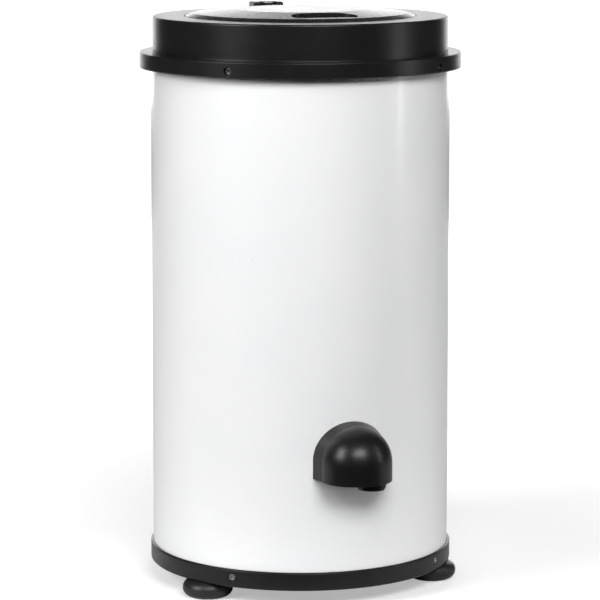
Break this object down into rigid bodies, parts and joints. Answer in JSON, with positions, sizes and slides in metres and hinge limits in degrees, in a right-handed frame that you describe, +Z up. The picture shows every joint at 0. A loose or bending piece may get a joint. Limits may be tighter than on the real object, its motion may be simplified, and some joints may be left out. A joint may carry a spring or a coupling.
{
  "type": "laundry spin dryer",
  "caption": "Free-standing laundry spin dryer: upright white cylinder with black rim and base, hinged round lid with latch, perforated drum, hooded gravity drain spout at the lower front",
  "frame": {"origin": "on the floor, on the axis of the drum and casing", "axes": "+Z up along the drum's axis; -Y is the front, where the drain is; +Y is the back, where the lid's hinge is; +X is to the right for someone facing the front"},
  "size_m": [0.344, 0.3822, 0.6142],
  "materials": {
    "white_enamel": "smooth baked enamel",
    "black_moulding": "satin moulded plastic",
    "lid_moulding": "satin moulded plastic",
    "inner_moulding": "plain moulded plastic",
    "black_rubber": "plain rubber",
    "grey_rubber": "plain rubber",
    "pale_moulding": "plain moulded plastic",
    "stainless": "bright stainless sheet",
    "zinc_steel": "zinc plated",
    "sheet_steel": "galvanised sheet",
    "blackened_steel": "black oxide",
    "spring_steel": "oiled spring wire",
    "cast_aluminium": "as cast",
    "dark_iron": "laminated or cast iron",
    "copper_wire": "varnished winding wire",
    "brake_lining": "friction lining",
    "white_pin": "plain moulded plastic",
    "capacitor_case": "drawn can"
  },
  "bodies": {
    "housing": {"casing": "white_enamel", "base_ring": "black_moulding", "base_pan": "sheet_steel", "feet": "black_rubber", "foot_screws": "zinc_steel", "base_screws": "blackened_steel", "top_cover": "black_moulding", "rim_screws": "blackened_steel", "hinge_block": "black_moulding", "hinge_screws": "zinc_steel", "hinge_pin": "zinc_steel", "outer_tub": "pale_moulding", "tub_ring": "pale_moulding", "tub_screws": "zinc_steel", "mouth_seal": "grey_rubber", "shaft_seal": "black_rubber", "motor_can": "sheet_steel", "motor_top_shield": "cast_aluminium", "motor_base_shield": "cast_aluminium", "stator": "dark_iron", "windings": "copper_wire", "bearings": "stainless", "motor_plate": "sheet_steel", "motor_screws": "zinc_steel", "spring_seats": "black_rubber", "suspension_springs": "spring_steel", "spout_hood": "black_moulding", "hood_screws": "zinc_steel", "drain_spout": "black_moulding", "spout_gasket": "grey_rubber", "spout_nut": "black_moulding", "drain_hose": "grey_rubber", "hose_clamps": "zinc_steel", "interlock_switch": "inner_moulding", "brake_pivot": "zinc_steel", "brake_spring": "spring_steel", "brake_cable": "black_rubber", "brake_wires": "spring_steel", "cable_brackets": "sheet_steel", "junction_box": "inner_moulding", "capacitor": "capacitor_case", "cable_grommet": "black_rubber", "leads": "black_rubber"},
    "lid": {"lid": "lid_moulding", "lid_liner": "inner_moulding", "lid_gasket": "grey_rubber", "lid_screws": "zinc_steel", "latch_pin": "zinc_steel", "latch_spring": "spring_steel"},
    "latch": {"latch_paddle": "lid_moulding"},
    "interlock_pin": {"interlock_pin": "white_pin"},
    "drum": {"drum": "stainless", "drum_hub": "cast_aluminium", "hub_nut": "zinc_steel", "motor_shaft": "zinc_steel", "rotor_core": "dark_iron", "brake_drum": "dark_iron", "cooling_fan": "inner_moulding"},
    "brake": {"brake_lever": "sheet_steel", "brake_lining": "brake_lining"}
  },
  "joints": [
    {"name": "lid_hinge", "type": "hinge", "parent": "housing", "child": "lid", "pos_m": [0, 0.134, 0.6104], "axis": [-1, 0, 0], "range_deg": [0, 95], "deforming": ["brake_wires"]},
    {"name": "latch_tilt", "type": "hinge", "parent": "lid", "child": "latch", "pos_m": [0, -0.1075, 0.6063], "axis": [1, 0, 0], "range_deg": [0, 12], "stiffness_Nm_per_rad": 0.03, "springref_deg": -22.92, "deforming": ["latch_spring"]},
    {"name": "interlock_rise", "type": "slide", "parent": "housing", "child": "interlock_pin", "axis": [0, 0, 1], "range_m": [0, 0.0022]},
    {"name": "drum_spin", "type": "hinge", "parent": "housing", "child": "drum", "pos_m": [0, 0, 0.2524], "axis": [0, 0, 1], "continuous": true},
    {"name": "brake_swing", "type": "hinge", "parent": "housing", "child": "brake", "pos_m": [-0.048, -0.02, 0.0569], "axis": [0, 0, -1], "range_deg": [0, 5], "deforming": ["brake_spring"]}
  ],
  "couplings": [
    {"joint": "interlock_rise", "follows": "lid_hinge", "m_per_rad": 0.001325},
    {"joint": "brake_swing", "follows": "lid_hinge", "ratio": 0.0526}
  ]
}
